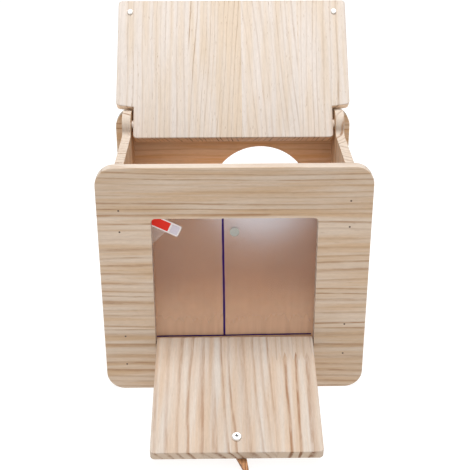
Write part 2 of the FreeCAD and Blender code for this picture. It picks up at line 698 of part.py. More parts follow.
def pull_screw(door):
    """The pan-head screw from the inner face of the door into the pull, which it turns with."""
    return new_screw("pull_screw", "pull_screw",
                     "sizes.door_thick + 2 * sizes.pull_gap + sizes.pull_screw_bite",
                     ("0", "places.door_round + sizes.pull_gap", "sizes.pull_place"), door,
                     "rotation(vector(0; 1; 0); sizes.pull_turn)")


# Whole box

def build():
    """Makes every sub-part and returns them in order."""
    lid_board = lid()
    door = viewing_door()
    return [
        front_panel(),
        back_panel(),
        side_panel("left", "-places.body_half", "sizes.nail_margin"),
        side_panel("right", "places.inside_half", "sizes.side_thick - sizes.nail_margin"),
        floor_panel(),
        *nails(),
        lid_board,
        *lid_dowels(),
        lid_screws(lid_board),
        window_pane(),
        pane_screws(),
        catch_magnet(),
        door,
        *door_pins(),
        door_pull(door),
        pull_screw(door),
    ]


def check(subparts):
    """Stops on a failed object, or on a sub-part with no valid shape."""
    for item in doc.Objects:
        if "Invalid" in item.State or "Error" in item.State:
            raise RuntimeError(f"{item.Name} failed: {item.State}")
    for item in subparts:
        if item.Shape.isNull() or not item.Shape.isValid():
            raise RuntimeError(f"{item.Label} has no valid shape")


subparts = build()
doc.recompute()
check(subparts)
os.makedirs("parts", exist_ok=True)
for item in subparts:
    item.Shape.exportStep(f"parts/{item.Label}.step")
    print(item.Label, len(item.Shape.Solids), round(item.Shape.Volume, 1))
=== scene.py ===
"""Looks of the parakeet nest box: bare pine boards, a filmed acrylic pane and zinc-plated screws."""
import json
import math
from typing import NamedTuple

import bpy
import numpy as np
from mathutils import Matrix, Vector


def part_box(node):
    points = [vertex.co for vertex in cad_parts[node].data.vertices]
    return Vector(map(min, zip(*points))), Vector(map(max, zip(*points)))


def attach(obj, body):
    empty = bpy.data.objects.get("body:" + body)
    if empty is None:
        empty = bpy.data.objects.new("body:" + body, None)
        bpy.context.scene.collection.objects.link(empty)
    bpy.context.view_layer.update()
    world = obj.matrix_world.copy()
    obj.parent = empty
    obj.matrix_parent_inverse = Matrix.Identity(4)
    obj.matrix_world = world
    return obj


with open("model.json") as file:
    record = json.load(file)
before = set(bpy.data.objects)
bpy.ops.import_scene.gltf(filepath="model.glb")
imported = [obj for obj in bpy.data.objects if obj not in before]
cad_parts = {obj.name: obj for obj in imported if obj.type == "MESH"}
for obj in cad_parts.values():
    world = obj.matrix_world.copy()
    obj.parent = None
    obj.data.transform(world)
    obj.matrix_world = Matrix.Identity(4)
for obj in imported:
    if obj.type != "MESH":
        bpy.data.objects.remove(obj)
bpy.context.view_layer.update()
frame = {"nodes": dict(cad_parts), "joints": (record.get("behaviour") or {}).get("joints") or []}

# Directions of the box, and of the lid and the door as they stand open
RIGHT = np.array([1.0, 0.0, 0.0])
BACK = np.array([0.0, 1.0, 0.0])
UP = np.array([0.0, 0.0, 1.0])
MM = 0.001
JOINTS = {joint["name"]: joint for joint in frame["joints"]}
LID_ANGLE = math.radians(JOINTS["lid_hinge"]["range_deg"][1])
DOOR_ANGLE = math.radians(JOINTS["door_hinge"]["range_deg"][1])
LID_PIVOT = np.array(JOINTS["lid_hinge"]["pos_m"])
DOOR_PIVOT = np.array(JOINTS["door_hinge"]["pos_m"])
PULL_PIVOT = np.array(JOINTS["pull_turn"]["pos_m"])
LID_FRONT = np.array([0.0, -math.cos(LID_ANGLE), math.sin(LID_ANGLE)])
LID_NORMAL = np.array([0.0, -math.sin(LID_ANGLE), -math.cos(LID_ANGLE)])
DOOR_FREE = np.array([0.0, -math.sin(DOOR_ANGLE), math.cos(DOOR_ANGLE)])
DOOR_NORMAL = np.array([0.0, math.cos(DOOR_ANGLE), math.sin(DOOR_ANGLE)])

# Window in the front, from the door's packed box, its pivot and the gap beside it
DOOR_GAP = 0.70 * MM
SILL_DROP = 4.2 * MM
WINDOW_HEIGHT = 110.4 * MM
WINDOW_CORNER = 3.6 * MM
WINDOW_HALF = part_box("viewing_door")[1][0] + DOOR_GAP
WINDOW_LOW = DOOR_PIVOT[2] - SILL_DROP
WINDOW_TOP = WINDOW_LOW + WINDOW_HEIGHT

# Height of the magnet, and the radius of its hole in the pane
MAGNET_LOW, MAGNET_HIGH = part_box("catch_magnet")
CATCH_Z = (MAGNET_LOW[2] + MAGNET_HIGH[2]) / 2
HOLE_RADIUS = 3.52 * MM

# Pull screw: its crown over the pull's pivot, and the reach of the painted shade in its cross recess
CROWN_HEIGHT = 5.45 * MM
CROSS_REACH = 1.9 * MM

# Film in front of the pane, and the ink and the paper on it
FILM_GAP = 0.02 * MM
FILM_THICKNESS = 0.06 * MM
INK_THICKNESS = 0.02 * MM
PAPER_THICKNESS = 0.04 * MM
FILM_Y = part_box("window_pane")[0][1] - FILM_GAP - FILM_THICKNESS
INK_Y = FILM_Y - 0.03 * MM

# Sticker on the film, in mm: its middle, its width, how far its right end is from its middle, its border
STICKER_MIDDLE = (-49.7, 136.6)
STICKER_WIDTH = 9.05
STICKER_END = 10.25
STICKER_BORDER = 1.0


# Material graphs

class Graph:
    """A material's node tree, with one short call for each kind of node."""

    def __init__(self, name):
        self.material = bpy.data.materials.new(name)
        self.material.use_nodes = True
        self.tree = self.material.node_tree
        self.tree.nodes.clear()

    def add(self, kind, inputs=(), **settings):
        """A new node with its settings. Each input is a number, a colour or another node's socket."""
        made = self.tree.nodes.new(kind)
        for key, setting in settings.items():
            setattr(made, key, setting)
        for key, given in dict(inputs).items():
            if isinstance(given, bpy.types.NodeSocket):
                self.tree.links.new(given, made.inputs[key])
            else:
                made.inputs[key].default_value = given
        return made

    def calc(self, operation, *numbers):
        """The result of a sum on numbers."""
        return self.add("ShaderNodeMath", enumerate(numbers), operation=operation).outputs[0]

    def place(self, x, y, z):
        """Three numbers as a vector."""
        return self.add("ShaderNodeCombineXYZ", enumerate((x, y, z))).outputs[0]

    def position(self):
        """The point of the surface in the box's own frame, in metres."""
        return self.add("ShaderNodeTexCoord").outputs["Object"]

    def position_from(self, middle):
        """The point of the surface as seen from a middle, in metres."""
        inputs = {0: self.position(), 1: tuple(middle)}
        return self.add("ShaderNodeVectorMath", inputs, operation="SUBTRACT").outputs[0]

    def along(self, point, direction):
        """How far a point lies along a direction."""
        inputs = {0: point, 1: tuple(direction)}
        return self.add("ShaderNodeVectorMath", inputs, operation="DOT_PRODUCT").outputs["Value"]

    def scale(self, vector, factor):
        """A vector times a number."""
        return self.add("ShaderNodeVectorMath", {0: vector, 3: factor}, operation="SCALE").outputs[0]

    def noise(self, point, seed=0.0, detail=2.0, rough=0.5):
        """Smooth noise from 0 to 1 at a point whose scale is already set."""
        inputs = {"Vector": point, "W": seed, "Scale": 1.0, "Detail": detail, "Roughness": rough}
        return self.add("ShaderNodeTexNoise", inputs, noise_dimensions="4D").outputs[0]

    def ease(self, number, start, end, low=0.0, high=1.0):
        """A smooth step from low to high as a number goes from start to end."""
        inputs = enumerate((number, start, end, low, high))
        return self.add("ShaderNodeMapRange", inputs, interpolation_type="SMOOTHSTEP").outputs[0]

    def vary(self, noise, spread):
        """A factor about 1 that follows a noise, up and down by half the spread."""
        return self.calc("MULTIPLY_ADD", noise, spread, 1 - spread / 2)

    def mix(self, share, first, second, how="MIX"):
        """Two colours blended by a share."""
        inputs = {0: share, 6: first, 7: second}
        return self.add("ShaderNodeMix", inputs, data_type="RGBA", blend_type=how).outputs[2]

    def brighten(self, colour, factor):
        """A colour times a number."""
        return self.add("ShaderNodeHueSaturation", {"Color": colour, "Value": factor}).outputs[0]

    def bump(self, height, strength, distance):
        """A surface normal from a height."""
        inputs = {"Height": height, "Strength": strength, "Distance": distance}
        return self.add("ShaderNodeBump", inputs).outputs[0]

    def finish(self, **sockets):
        """Closes the graph with one principled surface and returns the material."""
        shader = self.add("ShaderNodeBsdfPrincipled",
                          {key.replace("_", " "): given for key, given in sockets.items()})
        output = self.add("ShaderNodeOutputMaterial")
        self.tree.links.new(shader.outputs[0], output.inputs[0])
        return self.material


def colour(red, green, blue):
    """A linear colour from display values of 0 to 255."""
    display = np.array([red, green, blue]) / 255
    linear = np.where(display <= 0.04045, display / 12.92, ((display + 0.055) / 1.055) ** 2.4)
    return (*linear.tolist(), 1.0)


# Pine

class Stave(NamedTuple):
    """One glued strip of a board, and how its log lay, with all lengths in mm.

    The strip starts at start across the board. The pith is the middle of its log, across the board and
    through it. A growth ring is ring wide on average, and seed sets the strip's noise apart from others.
    Warmth is how far the early wood goes from pale to warm, depth is how dark the rings are, late is the
    dark share of each ring, shade is how bright the wood is beside its neighbours, and lean is how far the
    grain shifts across for each mm along it."""
    start: float
    pith_across: float
    pith_through: float
    ring: float
    seed: float
    warmth: float = 0.3
    depth: float = 1.0
    late: float = 0.4
    shade: float = 1.0
    lean: float = 0.0


# How far slow and quick noise push the rings aside, in mm
RING_BEND = 16.0
RING_RIPPLE = 1.8

# Where in a ring its late wood is full and where it starts to fade, and the rings' strength on a face
LATE_FULL = 0.80
LATE_FADE = 0.82
FACE_RINGS = 0.9

# Share of the sawn colour on a sawn edge, and of the darkest colour in the rings of end grain
SAWN_SHARE = 0.8
END_SHARE = 0.6


def pine(name, middle, directions, staves, colours, end_rings, flecks=0.4, fingers=None):
    """Bare sanded pine, as a solid pattern that runs on over faces, edges and end grain.

    Growth rings are circles about each stave's pith, bent by slow noise along the grain. Each ring
    darkens to its late wood and fades again, some rings are fainter than others, and all of them come and
    go along the grain. Between the rings the wood drifts from pale to warm. Fine fibres, hairs and resin
    flecks are noise drawn out along the grain, and flecks says how strong those are. Sawn edges have a
    colour of their own, and on end grain the rings are as strong as end_rings says. A finger joint, where
    given, is a zigzag across the last stave, past which the board goes on with another piece of wood."""
    grain, through = directions[0], directions[2]
    pale, dark, warm, sawn = colours
    graph = Graph(name)
    in_mm = graph.scale(graph.position_from(middle), 1 / MM)
    u, v, w = (graph.along(in_mm, direction) for direction in directions)

    steps = [graph.calc("GREATER_THAN", v, stave.start) for stave in staves[1:]]
    if fingers:
        start, pitch, length = fingers
        zigzag = graph.calc("PINGPONG", v, pitch / 2)
        edge = graph.calc("MULTIPLY_ADD", zigzag, 2 * length / pitch, start)
        past = graph.calc("GREATER_THAN", u, edge)
        steps[-1] = graph.calc("MULTIPLY", past, graph.calc("GREATER_THAN", v, staves[-1].start))

    def pick(key):
        """The stave's own value at this point."""
        numbers = [getattr(stave, key) for stave in staves]
        found = numbers[0]
        for step, before, after in zip(steps, numbers, numbers[1:]):
            found = graph.calc("MULTIPLY_ADD", step, after - before, found)
        return found

    seed = pick("seed")

    def streaks(length, width, detail=2.0, rough=0.5):
        """Noise drawn out along the grain, by its length and width in mm."""
        point = graph.place(graph.calc("DIVIDE", u, length), graph.calc("DIVIDE", v, width),
                            graph.calc("DIVIDE", w, width))
        return graph.noise(point, seed, detail, rough)

    def spacing(rings, share):
        """Noise along the count of rings, to make their widths uneven."""
        return graph.noise(graph.place(graph.calc("DIVIDE", rings, share), 0.0, 0.0), seed, 0.0)

    pith = graph.calc("MULTIPLY_ADD", u, pick("lean"), pick("pith_across"))
    aside = graph.calc("SUBTRACT", v, pith)
    below = graph.calc("SUBTRACT", w, pick("pith_through"))
    squared = graph.calc("MULTIPLY_ADD", aside, aside, graph.calc("MULTIPLY", below, below))
    bent = graph.calc("MULTIPLY_ADD", streaks(260, 60), RING_BEND, graph.calc("SQRT", squared))
    rippled = graph.calc("MULTIPLY_ADD", streaks(50, 9), RING_RIPPLE, bent)
    rings = graph.calc("DIVIDE", rippled, pick("ring"))
    count = graph.calc("MULTIPLY_ADD", spacing(rings, 2.1), 1.7, rings)
    count = graph.calc("MULTIPLY_ADD", spacing(rings, 7.0), 2.6, count)
    phase = graph.calc("FRACT", count)
    rise = graph.calc("SUBTRACT", 1.0, pick("late"))
    fall = graph.ease(phase, LATE_FADE, 1.0, 1.0, 0.0)
    late = graph.calc("MULTIPLY", graph.ease(phase, rise, LATE_FULL), fall)
    ring_number = graph.calc("ADD", graph.calc("FLOOR", count), seed)
    each = graph.add("ShaderNodeTexWhiteNoise", {"W": ring_number}, noise_dimensions="1D").outputs[0]
    strength = graph.calc("MULTIPLY", graph.calc("MULTIPLY_ADD", each, 0.7, 0.3), pick("depth"))
    fade = graph.ease(streaks(110, 7), 0.30, 0.66, 0.4, 1.0)
    broken = graph.ease(streaks(16, 1.6, 3.0, 0.6), 0.32, 0.62, 0.4, 1.0)
    lasting = graph.calc("MULTIPLY", fade, broken)
    late = graph.calc("MULTIPLY", graph.calc("MULTIPLY", late, strength), lasting)

    normal = graph.add("ShaderNodeTexCoord").outputs["Normal"]
    rim = graph.ease(graph.calc("ABSOLUTE", graph.along(normal, through)), 0.25, 0.75, 1.0, 0.0)
    ends = graph.ease(graph.calc("ABSOLUTE", graph.along(normal, grain)), 0.45, 0.95)

    fibre = streaks(34, 1.1, 4.0, 0.62)
    hair = streaks(5, 0.7, 3.0, 0.6)
    fleck = graph.ease(streaks(6.0, 0.45), 0.65, 0.74)
    cloud = graph.noise(graph.place(graph.calc("DIVIDE", u, 70), graph.calc("DIVIDE", v, 24), w), seed)

    drift = graph.ease(streaks(90, 5, 3.0), 0.30, 0.70, -0.4, 0.6)
    warmth = graph.calc("ADD", pick("warmth"), drift)
    early = graph.mix(warmth, pale, graph.mix(1.0, pale, warm, "MULTIPLY"))
    early = graph.mix(graph.calc("MULTIPLY", rim, SAWN_SHARE), early, sawn)
    deep = graph.mix(graph.calc("MULTIPLY", ends, END_SHARE), dark, END_DARK)
    contrast = graph.calc("MULTIPLY_ADD", ends, end_rings - FACE_RINGS, FACE_RINGS)
    wood = graph.mix(graph.calc("MULTIPLY", late, contrast), early, deep)
    shine = pick("shade")
    for noise, spread in ((fibre, 0.20), (hair, 0.28), (cloud, 0.12)):
        shine = graph.calc("MULTIPLY", shine, graph.vary(noise, spread))
    wood = graph.brighten(wood, shine)
    wood = graph.mix(graph.calc("MULTIPLY", fleck, flecks), wood, dark)

    height = graph.calc("MULTIPLY_ADD", fibre, 0.7, graph.calc("MULTIPLY", hair, 0.5))
    height = graph.calc("MULTIPLY_ADD", late, 0.06, height)
    return graph.finish(
        Base_Color=wood,
        Roughness=graph.calc("MULTIPLY_ADD", fibre, 0.16, 0.52),
        Normal=graph.bump(height, 0.3, 0.00012),
        Specular_IOR_Level=0.25,
    )


END_DARK = colour(112, 72, 44)
FRONT_COLOURS = colour(219, 199, 179), colour(172, 134, 100), colour(242, 226, 204), colour(216, 204, 192)
BACK_COLOURS = colour(216, 192, 166), colour(164, 120, 84), colour(244, 226, 202), colour(206, 192, 176)
SIDE_COLOURS = colour(224, 200, 174), colour(162, 122, 88), colour(244, 226, 202), colour(202, 190, 178)
LID_COLOURS = colour(212, 201, 192), colour(158, 128, 100), colour(250, 241, 226), colour(234, 204, 172)
DOOR_COLOURS = colour(208, 197, 186), colour(160, 122, 92), colour(248, 232, 216), colour(194, 172, 150)
PULL_COLOURS = colour(196, 152, 112), colour(80, 44, 22), colour(240, 214, 186), colour(150, 104, 68)

BASE = (0, 0, 0)
FRONT_WOOD = pine("front_pine", BASE, (RIGHT, UP, BACK), [
    # The lowest stave's shade is partly the board's tone and partly painted shade, as less light reaches
    # the lower front
    Stave(-5, -160, -60, 6.0, 1.7, 0.4, 1.9, 0.66, shade=0.90),
    Stave(54, 190, -50, 5.0, 8.2, 0.2, 1.2, 0.5, shade=0.96),
    Stave(90, -70, -70, 7.0, 3.4, 0.3, 1.2, 0.5, shade=0.99),
    Stave(150, 20, -60, 4.4, 5.9, 0.4, 1.2, 0.45, shade=0.92),
], FRONT_COLOURS, 0.8)
BACK_WOOD = pine("back_pine", BASE, (RIGHT, UP, BACK), [
    Stave(-5, 150, 40, 5.4, 11.3, 0.5),
    Stave(48, -120, 50, 4.6, 14.8, 0.3),
    Stave(104, 240, 40, 5.8, 17.1, 0.6),
    Stave(158, 60, 45, 5.4, 19.6, 0.4),
], BACK_COLOURS, 1.0)
SIDE_WOOD = pine("side_pine", BASE, (UP, BACK, RIGHT), [
    Stave(-60, -180, -60, 4.8, 22.4, 0.3, 1.3, 0.5),
    Stave(-4, 110, -50, 5.2, 25.8, 0.5, 1.3, 0.5),
    Stave(33, -90, -60, 4.6, 29.3, 0.4, 1.3, 0.5),
], SIDE_COLOURS, 0.8)
FLOOR_WOOD = pine("floor_pine", BASE, (BACK, RIGHT, UP), [
    Stave(-90, -190, -60, 5.0, 31.2, 0.4),
    Stave(-30, 90, -50, 4.7, 34.6, 0.2),
    Stave(24, -110, -70, 5.5, 37.9, 0.5),
], BACK_COLOURS, 1.0)
LID_WOOD = pine("lid_pine", LID_PIVOT, (LID_FRONT, RIGHT, LID_NORMAL), [
    Stave(-100, -220, -50, 4.2, 41.5, 0.2, 0.65, 0.36),
    Stave(-35, -150, -50, 3.6, 44.1, 0.4, 1.1, 0.36, lean=0.05),
    Stave(-11, -150, -50, 3.6, 44.1, 1.0, 1.1, 0.36, lean=0.05),
    Stave(7, 140, -60, 4.2, 47.7, 0.2, 0.6, 0.40, lean=-0.07),
    Stave(52, 190, -50, 4.6, 49.2, 0.2, 0.8, 0.36, lean=0.03),
], LID_COLOURS, 1.6, flecks=0.9)
DOOR_WOOD = pine("door_pine", DOOR_PIVOT, (DOOR_FREE, RIGHT, DOOR_NORMAL), [
    Stave(-70, -150, -80, 8.0, 51.4, 0.4, 1.3, 0.55),
    Stave(-23, -85, -60, 5.2, 54.9, 0.4, 1.2, 0.6, shade=0.95, lean=0.05),
    Stave(28, 170, -50, 4.6, 57.3, 0.3, 0.8, 0.45, shade=0.94, lean=0.03),
    Stave(28, 180, -40, 8.0, 64.3, 0.5, 1.9, 0.5, shade=0.98),
], DOOR_COLOURS, 1.4, fingers=(14, 4.2, 9))
PULL_WOOD = pine("pull_pine", PULL_PIVOT, (DOOR_FREE, RIGHT, DOOR_NORMAL), [
    Stave(-20, 30, -20, 1.9, 66.2, 0.8, 1.9, 0.6),
], PULL_COLOURS, 1.6)
DOWEL_WOOD = pine("dowel_wood", LID_PIVOT, (RIGHT, BACK, UP), [
    Stave(-20, 12, -15, 2.0, 71.6, 0.4, 0.7),
], SIDE_COLOURS, 0.8)


# Metal, acrylic, film, ink and paper

def metal(name, base, rough, streak, recess_shade=None):
    """Plated or drawn steel: metallic, with a roughness that drifts over the surface.

    The last argument, where given, is a point at the middle of a screw's crown, the direction of its axis
    and a radius.
    Within that radius, what lies below the crown is painted dark: painted shade at the bottom of a cross
    recess."""
    graph = Graph(name)
    drift = graph.noise(graph.scale(graph.position(), streak), 0.0, 4.0, 0.6)
    shade = graph.vary(drift, 0.3)
    if recess_shade:
        crown, axis, radius = recess_shade
        moved = graph.position_from(crown)
        depth = graph.calc("MULTIPLY", graph.along(moved, axis), -1.0)
        length = graph.add("ShaderNodeVectorMath", {0: moved}, operation="LENGTH").outputs["Value"]
        rim, bottom = 0.1 * MM, 0.3 * MM
        # Painted shade: below the crown and within the radius, the plating is darkened like a recess in
        # shade
        deep = graph.ease(depth, rim, bottom)
        deep = graph.calc("MULTIPLY", deep, graph.calc("LESS_THAN", length, radius))
        shade = graph.calc("MULTIPLY", shade, graph.calc("MULTIPLY_ADD", deep, -0.92, 1.0))
    return graph.finish(
        Base_Color=graph.brighten(base, shade),
        Metallic=1.0,
        Roughness=graph.calc("MULTIPLY_ADD", drift, 0.2, rough),
        Normal=graph.bump(drift, 0.1, 0.00005),
    )


CROWN = PULL_PIVOT + CROWN_HEIGHT * DOOR_NORMAL
# Painted shade in the pull screw's cross recess
RECESS_SHADE_SPOT = (CROWN, DOOR_NORMAL, CROSS_REACH)
ZINC_COLOUR = colour(248, 248, 247)
ZINC = metal("zinc_plate", ZINC_COLOUR, 0.42, 900)
SHADED_RECESS_ZINC = metal("cross_zinc_plate", ZINC_COLOUR, 0.42, 900, RECESS_SHADE_SPOT)
WIRE = metal("drawn_wire", colour(104, 92, 82), 0.45, 1500)
NICKEL = metal("nickel_plate", colour(182, 182, 175), 0.50, 700)


def acrylic():
    """Clear acrylic: in the window, light goes through softly blurred in faint upright bands.

    The sawn rim of the hole at the magnet is frosted. Past the window, where the sheet lies on wood, the
    wood shows straight through it."""
    graph = Graph("clear_acrylic")
    point = graph.position()
    x, z = graph.along(point, RIGHT), graph.along(point, UP)
    bands = graph.noise(graph.place(graph.calc("MULTIPLY", x, 160), 0.0, 0.0), 3.0, 3.0)
    rise = graph.calc("SUBTRACT", z, CATCH_Z)
    from_catch = graph.calc("SQRT", graph.calc("MULTIPLY_ADD", x, x, graph.calc("MULTIPLY", rise, rise)))
    frosted, unfrosted = HOLE_RADIUS + 0.05 * MM, HOLE_RADIUS + 0.2 * MM
    clear = graph.ease(from_catch, frosted, unfrosted)
    aside = graph.calc("SUBTRACT", graph.calc("ABSOLUTE", x), WINDOW_HALF)
    middle = (WINDOW_LOW + WINDOW_TOP) / 2
    over = graph.calc("ABSOLUTE", graph.calc("SUBTRACT", z, middle))
    over = graph.calc("SUBTRACT", over, WINDOW_TOP - middle)
    outside, inside = 0.6 * MM, 0.2 * MM
    window = graph.ease(graph.calc("MAXIMUM", aside, over), outside, inside)
    clear = graph.calc("MULTIPLY", clear, window)
    return graph.finish(
        Base_Color=graph.mix(clear, colour(226, 228, 222), colour(201, 198, 203)),
        Transmission_Weight=graph.calc("MULTIPLY_ADD", clear, 0.8, 0.2),
        Alpha=graph.calc("MULTIPLY_ADD", window, 0.75, 0.25),
        IOR=1.49,
        Roughness=graph.calc("MULTIPLY_ADD", bands, 0.06, 0.43),
    )


def film():
    """Thin protective film: nearly clear at the top, with a milky veil that grows downwards and drifts in
    upright streaks.
    The veil is partly the film's own haze and partly a painted reflection. Its upper left corner has come
    loose, and is milky above a slanted fold."""
    graph = Graph("milky_film")
    point = graph.position()
    x, z = graph.along(point, RIGHT), graph.along(point, UP)
    streaks = graph.place(graph.calc("MULTIPLY", x, 220), 0.0, graph.calc("MULTIPLY", z, 12))
    drift = graph.noise(streaks, 1.0, 3.0)
    veil_top, veil_foot = WINDOW_LOW + 64 * MM, WINDOW_LOW + 6 * MM
    # Partly painted reflection: the warm milky veil grows towards the foot of the window
    haze_and_reflection = graph.ease(z, veil_top, veil_foot, 0.02, 0.85)
    milky = graph.calc("MULTIPLY", graph.calc("MULTIPLY_ADD", drift, 0.36, 0.32), haze_and_reflection)
    aside = graph.calc("ADD", x, WINDOW_HALF)
    fold_foot, fold_width = WINDOW_TOP - 25 * MM, 12 * MM
    above = graph.calc("SUBTRACT", graph.calc("SUBTRACT", z, fold_foot), aside)
    near = graph.ease(aside, fold_width, fold_width - 2 * MM)
    loose = graph.calc("MULTIPLY", graph.ease(above, -0.5 * MM, 2.0 * MM), near)
    return graph.finish(
        Base_Color=graph.mix(loose, colour(242, 206, 176), colour(236, 228, 224)),
        Roughness=0.45,
        Specular_IOR_Level=0.0,
        Alpha=graph.calc("MAXIMUM", milky, graph.calc("MULTIPLY", loose, 0.18)),
    )


def ink():
    """Blue marking ink, a little uneven along its stroke."""
    graph = Graph("blue_ink")
    uneven = graph.noise(graph.scale(graph.position(), 260.0), 2.0, 3.0)
    return graph.finish(
        Base_Color=graph.mix(uneven, colour(30, 8, 74), colour(50, 26, 120)),
        Roughness=0.6,
        Specular_IOR_Level=0.1,
    )


def paper():
    """Coated sticker paper: a red panel and a plain pale one inside a white border.

    The sticker's own coordinates are in mm from its middle, along it and across it."""
    graph = Graph("sticker_paper")
    uv = graph.add("ShaderNodeTexCoord").outputs["UV"]
    s, t = graph.along(uv, RIGHT), graph.along(uv, BACK)
    red_end, plain_start, plain_end = 1.7, 3.0, STICKER_END - STICKER_BORDER
    across = graph.calc("LESS_THAN", graph.calc("ABSOLUTE", t), STICKER_WIDTH / 2 - STICKER_BORDER)
    red = graph.calc("MULTIPLY", graph.calc("LESS_THAN", s, red_end), across)
    plain = graph.calc("MULTIPLY", graph.calc("GREATER_THAN", s, plain_start), across)
    plain = graph.calc("MULTIPLY", plain, graph.calc("LESS_THAN", s, plain_end))
    tooth = graph.noise(graph.scale(graph.position(), 700.0), 0.0, 3.0)
    shade = graph.calc("MULTIPLY_ADD", tooth, 0.12, 0.93)
    printed = graph.mix(red, colour(248, 242, 240), colour(244, 56, 40))
    printed = graph.mix(plain, printed, colour(226, 218, 228))
    return graph.finish(Base_Color=graph.brighten(printed, shade), Roughness=0.5, Specular_IOR_Level=0.15)


NODE_MATERIALS = {
    "front_panel": FRONT_WOOD,
    "back_panel": BACK_WOOD,
    "left_side_panel": SIDE_WOOD,
    "right_side_panel": SIDE_WOOD,
    "floor_panel": FLOOR_WOOD,
    "lid": LID_WOOD,
    "viewing_door": DOOR_WOOD,
    "door_pull": PULL_WOOD,
    "left_lid_dowel": DOWEL_WOOD,
    "right_lid_dowel": DOWEL_WOOD,
    "front_nails": WIRE,
    "back_nails": WIRE,
    "floor_nails": WIRE,
    "left_door_pin": WIRE,
    "right_door_pin": WIRE,
    "lid_screws": ZINC,
    "pane_screws": ZINC,
    "pull_screw": SHADED_RECESS_ZINC,
    "catch_magnet": NICKEL,
    "window_pane": acrylic(),
}
for node, material in NODE_MATERIALS.items():
    slots = frame["nodes"][node].data.materials
    slots.clear()
    slots.append(material)


# New pieces

def surface(name, points, material, uv=None):
    """A mesh piece from a grid of points, rows by columns, joined by four-sided faces."""
    rows, columns = points.shape[:2]
    index = np.arange(rows * columns).reshape(rows, columns)
    faces = np.stack([index[:-1, :-1], index[:-1, 1:], index[1:, 1:], index[1:, :-1]], axis=-1)
    mesh = bpy.data.meshes.new(name)
    mesh.from_pydata(points.reshape(-1, 3).tolist(), [], faces.reshape(-1, 4).tolist())
    if uv is not None:
        corners = np.zeros(len(mesh.loops), dtype=np.int32)
        mesh.loops.foreach_get("vertex_index", corners)
        layer = mesh.uv_layers.new(name="UVMap")
        layer.data.foreach_set("uv", uv.reshape(-1, 2)[corners].astype(np.float32).ravel())
    mesh.materials.append(material)
    piece = bpy.data.objects.new(name, mesh)
    bpy.context.scene.collection.objects.link(piece)
    return piece


def thicken(piece, depth):
    """Gives a sheet its thickness, behind its face."""
    solid = piece.modifiers.new("thickness", "SOLIDIFY")
    solid.thickness = depth
    solid.offset = -1


def film_sheet():
    """The film on the pane, as wide as the window, with a round hole at the magnet.

    Each ray from the hole's middle runs from the hole's circle, at row parameter 0, to the window's
    rectangle, cut off straight at its top corners, at 1. The rays are evenly turned, and some of them go
    to the corners."""
    over = WINDOW_TOP - CATCH_Z
    under = CATCH_Z - WINDOW_LOW
    inner = WINDOW_HALF - WINDOW_CORNER
    corner_x = np.array([WINDOW_HALF, WINDOW_HALF, inner, -inner, -WINDOW_HALF, -WINDOW_HALF])
    corner_z = np.array([-under, over - WINDOW_CORNER, over, over, over - WINDOW_CORNER, -under])
    turns = np.concatenate([np.linspace(-math.pi, math.pi, 97)[:-1], np.arctan2(corner_z, corner_x)])
    turns = np.unique(turns)
    turns = np.append(turns, turns[0] + 2 * math.pi)
    across, up = np.cos(turns[::-1]), np.sin(turns[::-1])
    slant = np.maximum(np.abs(across) + up, 1e-6)
    with np.errstate(divide="ignore"):
        reach = np.minimum(WINDOW_HALF / np.abs(across), np.where(up > 0, over, under) / np.abs(up))
    reach = np.minimum(reach, (WINDOW_HALF + over - WINDOW_CORNER) / slant)
    hole = HOLE_RADIUS + 0.1 * MM
    share = np.linspace(0, 1, 6)[:, None]
    distance = hole * (1 - share) + reach[None, :] * share
    x = distance * across[None, :]
    z = CATCH_Z + distance * up[None, :]
    return surface("pane_film", np.stack([x, np.full_like(x, FILM_Y), z], axis=-1), film())


def ink_line(name, start, end, width, material):
    """A drawn line on the film: a strip between two points, whose width and middle waver along it."""
    along = np.linspace(0, 1, 60)
    start, end = np.array(start) * MM, np.array(end) * MM
    course = end - start
    side = np.array([-course[1], course[0]]) / np.hypot(*course)
    waver = 0.05 * MM * np.sin(9 * along + 1.3) + 0.02 * MM * np.sin(23 * along)
    half = width / 2 * MM * (1 + 0.05 * np.sin(31 * along + 0.5))
    middle = start + along[:, None] * course + waver[:, None] * side
    edges = np.stack([middle - half[:, None] * side, middle + half[:, None] * side])
    y = np.full(edges.shape[:2], INK_Y)
    return surface(name, np.stack([edges[..., 0], y, edges[..., 1]], axis=-1), material)


def sticker():
    """A small paper sticker on the film, turned, whose left end stops at the round corner of the window.

    Each line along the sticker starts where it enters the window: at its left side, its top, or the
    corner's circle. It ends at the sticker's right end, which is rounded by a quarter circle at both
    corners, and its lift off the film grows with the square of the distance along it."""
    turn = math.radians(-25.7)
    course = np.array([math.cos(turn), math.sin(turn)])
    side = np.array([-course[1], course[0]])
    corner = 1.0
    t = np.linspace(-1, 1, 25) * STICKER_WIDTH / 2
    middle = np.array(STICKER_MIDDLE) + t[:, None] * side
    left, top = -WINDOW_HALF / MM, WINDOW_TOP / MM
    bend = WINDOW_CORNER / MM
    start = np.maximum((left - middle[:, 0]) / course[0], (top - middle[:, 1]) / course[1])
    from_bend = middle - np.array([left + bend, top - bend])
    along_bend = from_bend @ course
    spare = np.maximum(along_bend ** 2 - (from_bend ** 2).sum(axis=1) + bend ** 2, 0)
    entry = from_bend + start[:, None] * course
    start = np.where((entry[:, 0] < 0) & (entry[:, 1] > 0), -along_bend - np.sqrt(spare), start)
    near = np.maximum(np.abs(t) - STICKER_WIDTH / 2 + corner, 0)
    end = STICKER_END - corner + np.sqrt(corner ** 2 - near ** 2)
    share = np.linspace(0, 1, 33)[None, :]
    s = start[:, None] * (1 - share) + end[:, None] * share
    x = middle[:, :1] + s * course[0]
    z = middle[:, 1:] + s * course[1]
    lift = 0.06 + 0.35 * share ** 2
    y = np.broadcast_to(FILM_Y / MM - lift, x.shape)
    uv = np.stack([s, np.broadcast_to(t[:, None], s.shape)], axis=-1)
    return surface("blank_sticker", np.stack([x, y, z], axis=-1) * MM, paper(), uv)


